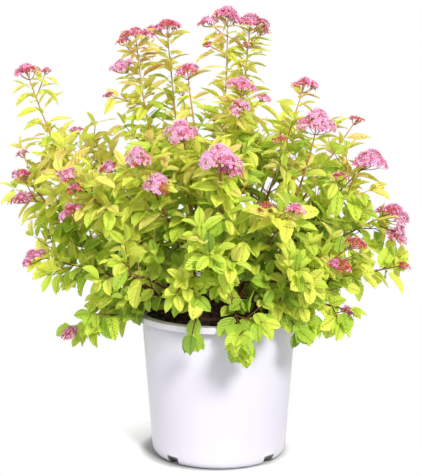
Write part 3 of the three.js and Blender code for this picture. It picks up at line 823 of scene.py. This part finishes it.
def growLeaves(path, first, last, level, angle, size, leafy=1.0, blooming=False):
    # leaves and side twigs set round a stem in turn, a steady angle apart
    v = growthValues
    steps = v["stemSteps"] if level == 0 else v["twigSteps"]
    roots, axes, share = stationsOn(path, first, last, steps, leafy)
    if len(roots) == 0:
        return
    order = np.arange(len(roots))
    turns = math.radians(angle) + order * (goldenAngle if level == 0 else math.radians(v["twigTurn"]))
    turns = turns + chance.uniform(-0.4, 0.4, len(order))
    sizes = size * (1.10 - 0.18 * share) * chance.uniform(*v["leafSizes"], len(roots))
    many, upTo, small = v["axilLeaves"]
    for group in np.array_split(order, max(1, len(order) // 5)):
        tint = dealTint(roots[group].mean(axis=0), share[group].mean())
        addLeaves(roots[group], axes[group], turns[group], sizes[group], 1.0, tint)
        if level < 2:
            some = group[(chance.uniform(size=len(group)) < many) & (share[group] < upTo)]
            wide = chance.uniform(-0.7, 0.7, len(some))
            addLeaves(roots[some], axes[some], turns[some] + wide, sizes[some] * small, 1.8, tint)
    tipTint = dealTint(path[-1], 1.0) + 0.3
    if level and not blooming:
        tuft = np.array(v["twigTuft"])
        addTuft(path, 2, math.radians(angle) + np.arange(len(tuft)) * 2.1, size * tuft, 2.6, tipTint)
    if level < 2:
        every = v["sideTwigs"][level]
        for k in order[(order % every == 1) & (share < v["twigZone"]) & (roots[:, 2] < v["twigCeiling"])]:
            reach = v["twigLengths"][level] * (1.15 - 0.45 * share[k]) * (1 - 0.35 * chance.uniform())
            growTwig(roots[k], axes[k], math.degrees(turns[k]) + 25, reach, level + 1, size * 0.92)


def canePath(index, foot, tip, middle):  # a bow with a slight wobble to one side, none at its ends
    path = bowedPath(foot, middle, tip, limbValues["caneRings"])
    share = np.linspace(0, 1, len(path))
    side = squareTo(np.array([0.4, 0.9, 0.1]), unit(tip - foot))
    wobble = np.sin(share * (17 + index % 5) + index) * limbValues["wobble"] * share * (1 - share) * 4
    return path + side * wobble[:, None], share


def growShrub():
    for index, (foot, cane) in enumerate(zip(caneFeet(), canes)):
        name, turn, reach, height, lift, bare, bloom, tone, shoots = cane
        tip = heading(turn) * reach / 1000
        tip[2] = height / 1000
        middle = mix(foot, tip, bowPlaces.get(name, 0.5)) + up * lift / 1000
        path, share = canePath(index, foot, tip, middle)
        limbs["cane"].append((path, mix(limbValues["footRadius"], limbValues["tipRadius"], share)))
        length = np.linalg.norm(np.diff(path, axis=0), axis=1).sum()
        first = bare * length + 0.006 if bare else growthValues["firstLeaf"]
        growLeaves(path, first, 0.28 * bloom / 1000 + 0.002, 0, index * 50, 1.0, leafiness.get(name, 1.0))
        if bloom:
            heads.append((tip, unit(path[-1] - path[-4]), bloom / 1000, tone))
        else:
            tuft = np.array(growthValues["caneTuft"])
            addTuft(path, 3, np.arange(len(tuft)) * goldenAngle, tuft, 1.6, dealTint(path[-1], 0.0) - 0.5)
        count, near, far, dryLength = growthValues["bareTwigs"]
        for place in np.linspace(near, far, count):
            start = path[int(place * (len(path) - 1))]
            toward = heading(chance.uniform(0, 360), chance.uniform(-5, 60))
            away = toward * dryLength * chance.uniform(0.4, 1.0)
            dry = bowedPath(start, start + away * 0.6, start + away + up * 0.012)
            if start[2] > soilValues["middleHeight"] + 0.03 and clearOfPot(dry).all():
                addTwig(dry, limbValues["dryRadii"])
        for t, shootTurn, rise, shootLength, width, shootTone in shoots:
            start = onBow(foot, middle, tip, t)
            direction = heading(shootTurn, rise)
            end = start + direction * shootLength / 1000
            shoot = bowedPath(start, start + direction * shootLength / 2200 - up * 0.004, end)
            addTwig(shoot, limbValues["shootRadii"])
            growLeaves(shoot, 0.008, 0.010, 1, index * 70, 0.95, blooming=True)
            heads.append((end, unit(shoot[-1] - shoot[-2]), width / 1000, shootTone))


# The leaves: ovate blades with a toothed margin, folded along the midrib and arched from root to tip.
leafValues = {
    "rows": (0.10, 0.20, 0.33, 0.47, 0.61, 0.75, 0.88),  # shares of the length, from the blade's foot
    "outline": (0.75, 0.95),  # the half width goes with s to the first power and 1 - s to the second
    "petiole": 0.035,  # half width of the stalk, as a share of the blade's width
    "tooth": 0.10,
    "arches": (0.60, 0.50),  # bend from root to tip in radians, at the rim and at full height
    "folds": (0.30, 0.50),
    # rooms kept free of leaves at a flower head: distance towards the sun and radius, as shares of its width
    "headRooms": ((0.0, 0.58), (0.7, 0.48), (1.3, 0.42)),
    "sun": (0.1, -0.9, 0.45),
    "glow": 0.36,  # the share of light that passes through a blade
    "glowGain": 1.12,  # how much brighter than the blade it is
    "seed": 23,
    "tints": {
        # the shaded tint goes mostly to sprays inside the crown, as painted shade
        "shaded": (126, 156, 58),
        "deep": (166, 195, 66),
        "green": (198, 217, 78),
        "lime": (222, 228, 94),
        "chartreuse": (228, 220, 112),
        "gold": (222, 200, 114),
        "amber": (214, 166, 104),
    },
}


def leafTemplate():
    # along (0 to 1) and across (-1 to 1) of each point, and the faces between root, rows, teeth and tip
    rows = np.array(leafValues["rows"])
    rising, falling = leafValues["outline"]
    blade = (rows - rows[0]) / (1 - rows[0])
    widest = 0.43**rising * 0.57**falling
    half = np.maximum(blade**rising * (1 - blade) ** falling / widest, leafValues["petiole"])
    along, across = [0.0], [0.0]
    for s, w in zip(rows, half):
        along += [s, s, s]
        across += [w, 0.0, -w]
    along.append(1.0)
    across.append(0.0)
    count, tip = len(rows), len(along) - 1
    left, middle, right = (1 + k + 3 * np.arange(count) for k in range(3))
    leftQuads = np.stack([middle[:-1], middle[1:], left[1:], left[:-1]], axis=-1)
    rightQuads = np.stack([right[:-1], right[1:], middle[1:], middle[:-1]], axis=-1)
    triangles = [
        [0, middle[0], left[0]],
        [0, right[0], middle[0]],
        [middle[-1], tip, left[-1]],
        [right[-1], tip, middle[-1]],
    ]
    for k in range(1, count - 1):  # a tooth stands out near the end of each stretch of the margin
        s = mix(rows[k], rows[k + 1], 0.8)
        w = mix(half[k], half[k + 1], 0.8) + leafValues["tooth"]
        tooth = len(along)
        along += [s, s]
        across += [w, -w]
        triangles += [[left[k], left[k + 1], tooth], [right[k], tooth + 1, right[k + 1]]]
    return np.array(along), np.array(across), np.concatenate([leftQuads, rightQuads]), np.array(triangles)


def leafMaterial(name, colour):
    # a plain base colour with a waxy sheen, light let through the blade, and veins pressed into it: a groove
    # along the midrib, where across = 0, and waves of along - 0.35 |across| for the side veins
    material, wire, shader, place = startMaterial(name)
    cells = noiseAt(wire, place, 420, 3)
    pattern = wire.node("ShaderNodeUVMap", {"uv_map": "pattern"})
    along = component(wire, pattern, "X")
    across = wire.maths("ABSOLUTE", component(wire, pattern, "Y"))
    rib = ranged(wire, across, 0.0, 0.16, "LINEAR")
    waves = wire.maths("SINE", (along - across * 0.35) * 44)
    relief = rib * 1.6 + waves * 0.4 + cells * 0.3
    dress(wire, shader, colourOf(*colour), 0.34 + cells * 0.2, relief, 0.0013)
    wire.feed(shader, {"Specular IOR Level": 0.40})
    letThrough(wire, shader, [min(255, c * leafValues["glowGain"]) for c in colour], leafValues["glow"])
    return material


def clearOfHeads(rows):
    # leaves that lie outside a ball at each flower head, and outside smaller ones on its sunny side
    tips = np.array([head[0] for head in heads])
    widths = np.array([head[2] for head in heads])[:, None]
    first = tips + (up * 0.30 + outwardOf(tips) * 0.33) * widths
    sunward = unit(np.array(leafValues["sun"]))
    free = np.ones(len(rows), dtype=bool)
    for share in (0.25, 0.5, 0.75, 1.0):
        spots = rows[:, 0:3] + rows[:, 3:6] * rows[:, 9:10] * share
        for away, room in leafValues["headRooms"]:
            gaps = np.linalg.norm(spots[:, None] - (first + sunward * away * widths)[None], axis=-1)
            free &= (gaps > room * widths[:, 0]).all(axis=1)
    return free


def buildLeaves():
    v = leafValues
    rows = np.concatenate(sprays)
    rows = rows[clearOfHeads(rows)]
    random = np.random.default_rng(v["seed"])
    along, across, quads, triangles = leafTemplate()
    print("leaves", len(rows))
    for index, name in enumerate(tintNames):
        chosen = rows[rows[:, 11] == index]
        if len(chosen) == 0:
            continue
        root, direction, face = chosen[:, 0:3], chosen[:, 3:6], chosen[:, 6:9]
        length, width, high = (chosen[:, k][:, None] for k in (9, 10, 12))
        side = np.cross(face, direction)
        count = len(chosen)
        arch = mix(*v["arches"], high) * random.uniform(0.4, 1.3, (count, 1))
        fold = mix(*v["folds"], high) * random.uniform(0.5, 1.4, (count, 1))
        wave = random.uniform(-1, 1, (count, 1)) * 0.035 * length
        phase = random.uniform(0, 6, (count, 1))
        forward = length * np.sin(arch * along) / arch  # the midrib is an arc of a circle
        drop = -length * (1 - np.cos(arch * along)) / arch
        out = across * width / 2 * np.cos(fold)
        lift = np.abs(across) * (width / 2 * np.sin(fold) + wave * np.sin(7 * along + phase))
        forward = forward + lift * np.sin(arch * along)
        drop = drop + lift * np.cos(arch * along)
        points = root[:, None] + direction[:, None] * forward[..., None]
        points = points + side[:, None] * out[..., None] + face[:, None] * drop[..., None]
        faces = [repeated(quads, len(along), count), repeated(triangles, len(along), count)]
        pattern = np.tile(np.stack([along, across], axis=-1), (count, 1))
        material = leafMaterial("leaf_" + name, v["tints"][name])
        addPiece("leaves_" + name, points, faces, [material], foliageNodes, pattern=pattern)


# The limbs: canes with fluted, ringed bark, thin twigs and the stalks under the flowers.
def caneBark():  # red-brown at the foot and ochre higher up, with dark fibres along the cane
    material, wire, shader, place = startMaterial("cane_bark")
    fibres = stretchedNoise(wire, place, (900, 900, 70), 3)
    share = component(wire, place, "Z") * 1.9 - 0.42 + noiseAt(wire, place, 120) * 0.25
    stops = [(spot, colourOf(*colour)) for spot, colour in limbValues["barkStops"]]
    ramp = wire.node("ShaderNodeValToRGB", {"stops": stops}, {"Fac": share})
    colour = wire.blended(fibres * 0.35, ramp, colourOf(*limbValues["furrows"]))
    dress(wire, shader, colour, 0.55 + fibres * 0.3, fibres, 0.0007)
    return material


def twigBark(name, colour):  # plain, with a fine grain
    return skin(name, colour, 700, (0.5, 0.25), 0.0003)


def stacked(kind):  # the paths and the radii of all limbs of one kind, as two arrays
    return [np.array(values) for values in zip(*limbs[kind])]


def buildLimbs():
    v = limbValues
    paths, radii = stacked("cane")
    ring = np.arange(v["caneRings"])[None, :, None]
    turn = evenTurns(v["caneSides"])[None, None]
    stem = np.arange(len(paths))[:, None, None]
    nodes = 0.10 * np.exp(-(((ring + stem * 3) % 4 - 1.5) ** 2) / 0.35)  # swellings where leaves sit
    relief = 1 + nodes + 0.06 * np.sin(3 * turn + ring * 0.35 + stem)
    points, faces = tubes(paths, radii, v["caneSides"], relief)
    addPiece("cane_bark_limbs", points, faces, [caneBark()], caneNodes + foliageNodes)

    paths, radii = stacked("twig")
    spread = np.random.default_rng(3).normal(0, 0.2, len(paths))
    light = heightShare(paths[:, -1, 2]) + spread > v["lightTwigs"]
    for (name, colour), chosen in zip(v["twigColours"].items(), (light, ~light)):
        points, faces = tubes(paths[chosen], radii[chosen], 6)
        addPiece(name, points, faces, [twigBark(name, colour)], foliageNodes)


def buildRootCrown():
    # a knuckled stump: a cone whose radius and height swell round the canes
    v = crownValues
    base = soilValues["middleHeight"] - 0.002
    surface = [(v["radius"] * s, float(crownTop(v["radius"] * s))) for s in np.linspace(1, 0, 22)]
    outline = [(0, base), (v["radius"] * 0.98, base), *surface]

    def knuckles(radius, level, turns):
        lumps = np.sin(turns * 7 + radius * 90) + 0.6 * np.sin(turns * 13 - radius * 160 + 1)
        share = np.clip((level - base) / v["height"], 0, 1)
        return radius * (1 + 0.035 * lumps * share), level + 0.0012 * lumps * (share > 0.05)

    points, faces = revolved(outline, evenTurns(96), knuckles)
    addPiece("root_crown_bark", points, faces, [twigBark("crown_bark", v["colour"])], ["root_crown"])


# The blossom: flat heads made of small domes of five-petalled florets with long stamens, and of buds.
blossomValues = {
    "floret": 0.0030,  # petal reach
    "sizes": (1.0, 1.0, 0.85, 0.6),  # of open, fresh and deep florets, and of buds, as shares of that
    "spacing": 1.25,  # of florets on a dome, as a share of the petal reach
    "budCrowding": 1.5,  # how many more buds than florets a dome holds
    "domes": (0.28, 0.44),  # height of a flat and of a full dome, as a share of its width
    "fullness": {"open": 1.0, "fresh": 0.5, "deep": 0.2, "bud": 0.2},
    "side": (5, 4),  # domes round the middle one, on a wide and on a narrow head
    "wide": 0.03,
    "sideAway": (0.25, 0.36),  # shares of the head's width, as are the next four
    "sideDrop": (0.10, 0.20),  # of a flat head, and how much more of a full one
    "middleWidth": 0.56,
    "sideWidths": (0.36, 0.50),
    "fork": 0.42,  # how far below the head its stalks part
    "neck": 0.30,  # and below a dome those of its florets, as a share of the dome's width
    "stalkRadii": (0.0006, 0.0003),
    "seed": 31,
    "petals": {
        "open": (222, 172, 203),
        "fresh": (206, 106, 142),
        "deep": (172, 46, 64),
        "bud": (222, 118, 74),
    },
    "middles": (170, 50, 98),
    "stamens": (236, 186, 220),
    "stalks": (146, 108, 64),
    "glows": {"petals": 0.25, "buds": 0.1, "middles": 0.1, "stamens": 0.3},
}
toneNames = ["open", "fresh", "deep", "bud"]
domeShares = {  # how the domes of a head are shared between the tones
    "open": [0.66, 0.22, 0.08, 0.04],
    "fresh": [0.20, 0.54, 0.14, 0.12],
    "deep": [0.04, 0.26, 0.46, 0.24],
    "bud": [0.00, 0.12, 0.26, 0.62],
}
floretShares = {  # the same for the florets of a dome
    "open": [0.66, 0.22, 0.12, 0.00],
    "fresh": [0.20, 0.54, 0.22, 0.04],
    "deep": [0.04, 0.28, 0.54, 0.14],
    "bud": [0.00, 0.06, 0.24, 0.70],
}


def floretTemplate():
    # five rhombic petals, a small cone in the middle and six thin stamens, in units of the petal's reach
    def spun(a, corners):  # (reach, offset, height) corners turned by an angle
        sin, cos = math.sin(a), math.cos(a)
        return [[r * cos - off * sin, r * sin + off * cos, z] for r, off, z in corners]

    petals, stamens = [], []
    fifths = np.radians(np.arange(5) * 72)
    for a in fifths:
        petals += spun(a, ((0.10, 0, 0.05), (0.62, -0.42, 0.22), (1.0, 0, 0.20), (0.62, 0.42, 0.22)))
    cone = [[0.30 * math.cos(a), 0.30 * math.sin(a), 0.05] for a in fifths] + [[0, 0, 0.42]]
    for k in range(6):
        reach = 0.55 + 0.25 * (k % 2)
        stamen = ((0.14, -0.02, 0.1), (reach, 0.09, 1.0), (reach, -0.09, 1.0))
        stamens += spun(math.radians(60 * k + 11), stamen)
    coneFaces = [[k, (k + 1) % 5, 5] for k in range(5)]
    faces = [np.arange(20).reshape(5, 4), np.array(coneFaces), np.arange(18).reshape(6, 3)]
    return [(np.array(points), f) for points, f in zip((petals, cone, stamens), faces)]


def budTemplate():  # an eight-sided bud, taller above than below
    points = np.array([[1, 0, 0], [0, 1, 0], [-1, 0, 0], [0, -1, 0], [0, 0, 1.2], [0, 0, -1]]) * 0.62
    faces = [[0, 1, 4], [1, 2, 4], [2, 3, 4], [3, 0, 4], [1, 0, 5], [2, 1, 5], [3, 2, 5], [0, 3, 5]]
    return points, np.array(faces)


def copies(template, rows, spins):
    # a template at each row's place and size, turned so that its Z is the row's normal
    shape, faces = template
    centres, normals, sizes = rows[:, :3], rows[:, 3:6], rows[:, 6]
    first = turnedAbout(squareTo(guideFor(normals), normals), normals, spins)
    basis = np.stack([first, np.cross(normals, first), normals], axis=1)
    points = centres[:, None] + (shape[None] * sizes[:, None, None]) @ basis
    return points, [repeated(faces, len(shape), len(rows))]


def petalSkin(name, colour, glow):  # silky, and lit through
    return skin(name, colour, 1500, (0.45, 0.3), 0.0002, glow)


def addStalk(path, radius):
    limbs["stalk"].append((path, np.full(len(path), radius)))


def fillDome(random, centre, normal, width, tone, full):
    # florets on a spiral of golden angles over a dome of height x (1 - share^2), as rows of place, normal
    # and size for each tone, and four stalks from its neck to some of them
    v = blossomValues
    amount = max(6, int((width / (v["floret"] * v["spacing"])) ** 2))
    if tone == "bud":
        amount = int(amount * v["budCrowding"])
    k = np.arange(amount)
    share = np.sqrt((k + 0.5) / amount)[:, None]
    radial = turnedAbout(squareTo(np.array([0.3, 0.8, 0.5]), normal), normal, k * goldenAngle)
    dome = mix(*v["domes"], full) * width
    spot = centre + radial * share * width / 2 + normal * (1 - share**2) * dome
    spot = spot + random.normal(0, 0.0006, spot.shape)
    facing = unit(normal + radial * share * 0.9 + random.normal(0, 0.18, spot.shape))
    size = v["floret"] * random.uniform(0.8, 1.15, (amount, 1))
    own = random.choice(len(toneNames), amount, p=floretShares[tone])
    rows = np.concatenate([spot, facing, size], axis=1)
    neck = centre - normal * width * v["neck"]
    for place in np.arange(4) * amount // 4:
        end = spot[place] - facing[place] * 0.0008
        addStalk(bowedPath(neck, (neck + end) / 2, end, 5), v["stalkRadii"][1])
    return [rows[own == index] * ([1] * 6 + [scale]) for index, scale in enumerate(v["sizes"])]


def growHeads(random):  # a middle dome and a ring of domes round it at each tip, on stalks that fork below
    v = blossomValues
    domes = []
    for tip, axis, width, headTone in heads:
        lean = unit(axis * 0.25 + up * 0.75 + outwardOf(tip) * 0.08)
        count = v["side"][0] if width > v["wide"] else v["side"][1]
        spin = random.uniform(0, 6) + evenTurns(count) + random.uniform(-0.3, 0.3, count)
        away = width * random.uniform(*v["sideAway"], count)
        full = v["fullness"][headTone]
        drop, more = v["sideDrop"]
        below = width * random.uniform(0.0, drop + more * full, count)
        ring = turnedAbout(squareTo(np.array([0.8, 0.5, 0.2]), lean), lean, spin)
        centres = np.concatenate([[tip], tip + ring * away[:, None] - lean * below[:, None]])
        sideWidths = random.uniform(*v["sideWidths"], count)
        widths = np.concatenate([[width * v["middleWidth"]], width * sideWidths])
        normals = np.concatenate([[lean], unit(lean + ring * 0.4)])
        tones = random.choice(toneNames, len(centres), p=domeShares[headTone])
        tones[0] = headTone
        fork = tip - axis * width * v["fork"]
        for centre, normal, domeWidth, tone in zip(centres, normals, widths, tones):
            neck = centre - normal * domeWidth * v["neck"]
            addStalk(bowedPath(fork, fork * 0.4 + neck * 0.6 - up * 0.002, neck, 5), v["stalkRadii"][0])
            domes.append(fillDome(random, centre, normal, domeWidth, tone, full))
    return [np.concatenate(rows) for rows in zip(*domes)]


def buildBlossom():
    v = blossomValues
    random = np.random.default_rng(v["seed"])
    florets = growHeads(random)
    petals, cone, stamens = floretTemplate()
    cups, hairs = [], []
    for tone, rows in zip(toneNames, florets):
        spins = random.uniform(0, 6, len(rows))
        budding = tone == "bud"
        points, faces = copies(budTemplate() if budding else petals, rows, spins)
        material = petalSkin("petal_" + tone, v["petals"][tone], v["glows"]["buds" if budding else "petals"])
        addPiece("blossom_" + tone, points, faces, [material], foliageNodes)
        if not budding:
            cups.append(copies(cone, rows, spins))
        if tone in ("open", "fresh"):
            hairs.append(copies(stamens, rows, spins))
    for name, skinName, parts in (("middles", "floret_middle", cups), ("stamens", "stamen", hairs)):
        points, faces = joined(parts)
        material = petalSkin(skinName, v[name], v["glows"][name])
        addPiece("blossom_" + name, points, faces, [material], foliageNodes)
    points, faces = tubes(*stacked("stalk"), 4)
    addPiece("blossom_stalks", points, faces, [twigBark("flower_stalk", v["stalks"])], foliageNodes)


# The stage: a white floor, white surroundings and broad soft lamps.
stageValues = {
    "floor": 7.0,
    "paintedShadowMiddle": (-0.010, 0.010, 0.0),  # the floor is painted darkest round this place, under the pot: a painted contact shadow
    "paintedShadowFade": (0.106, 0.132),  # distances from there over which the painted shadow clears
    "floorFade": (0.125, 0.235),  # distances from the pot over which the floor turns into plain white
    # the painted shadow's grey, then the floor's own white
    "paintedShadowAndFloorColours": ((0.30, 0.30, 0.30, 1), (0.80, 0.80, 0.80, 1)),
    "surroundings": (1.0, 0.50),  # brightness near the horizon, and above it
    "horizon": (0.12, 0.34),  # the rise over which one turns into the other
    "lamps": [  # place, size, watts
        ((0.9, -2.2, 1.9), 0.72, 98),
        ((-1.7, -1.5, 1.7), 1.6, 30),
        ((-0.2, 1.0, 2.5), 1.6, 40),
    ],
    "lampAim": (0, 0, 0.3),
    "cameraPlace": (-0.0131, -2.256, 0.745),
    "cameraTilt": 80.293,
    "lens": 106.06,
}


def addFloor():  # a painted grey shadow under the pot, white round it, and glowing plain white further out
    v = stageValues
    half = v["floor"] / 2
    corners = [(-half, -half, 0), (half, -half, 0), (half, half, 0), (-half, half, 0)]
    mesh = bpy.data.meshes.new("floor")
    mesh.from_pydata(corners, [], [(0, 1, 2, 3)])
    floor = addObject("floor", mesh)
    material, wire, shader, place = startMaterial("white_floor")
    inputs = {0: place, 1: v["paintedShadowMiddle"]}
    apart = wire.node("ShaderNodeVectorMath", {"operation": "DISTANCE"}, inputs, "Value")
    fromPot = wire.node("ShaderNodeVectorMath", {"operation": "LENGTH"}, {0: place}, "Value")
    # painted shadow: the floor's colour runs from grey to white with distance from the shadow's middle
    colour = wire.blended(ranged(wire, apart, *v["paintedShadowFade"]), *v["paintedShadowAndFloorColours"])
    wire.feed(shader, {"Base Color": colour, "Roughness": 0.9})
    glow = wire.node("ShaderNodeEmission", inputs={"Strength": 1.0})
    mixShaders(wire, shader, ranged(wire, fromPot, *v["floorFade"]), glow)
    mesh.materials.append(material)


def addSurroundings():  # a white sky that is dimmer above the horizon
    world = bpy.data.worlds.new("studio")
    world.use_nodes = True
    sky = Wire(world.node_tree)
    rise = component(sky, sky.node("ShaderNodeTexCoord", out="Generated"), "Z")
    low, top = stageValues["surroundings"]
    strength = low + ranged(sky, rise, *stageValues["horizon"]) * (top - low)
    sky.feed(world.node_tree.nodes["Background"], {"Color": (1, 1, 1, 1), "Strength": strength})
    bpy.context.scene.world = world


def addLampsAndCamera():  # each lamp is turned until it shines at the aim
    v, scene = stageValues, bpy.context.scene
    for number, (spot, size, watts) in enumerate(v["lamps"]):
        light = bpy.data.lights.new(f"lamp_{number}", "AREA")
        light.shape, light.size, light.energy = "DISK", size, watts
        lamp = addObject(light.name, light)
        lamp.location = spot
        aim = np.array(v["lampAim"]) - np.array(spot)
        flat = math.hypot(aim[0], aim[1])
        lamp.rotation_euler = (math.atan2(flat, -aim[2]), 0, math.atan2(aim[1], aim[0]) - math.pi / 2)
    lens = bpy.data.cameras.new("camera")
    lens.sensor_width, lens.lens = 36, v["lens"]
    camera = addObject("camera", lens)
    camera.location = v["cameraPlace"]
    camera.rotation_euler = (math.radians(v["cameraTilt"]), 0, 0)
    scene.camera = camera
    scene.view_settings.view_transform, scene.view_settings.look = "Standard", "None"


addFloor()
addSurroundings()
addLampsAndCamera()
buildPot()
buildSoil()
growShrub()
buildLeaves()
buildLimbs()
buildRootCrown()
buildBlossom()
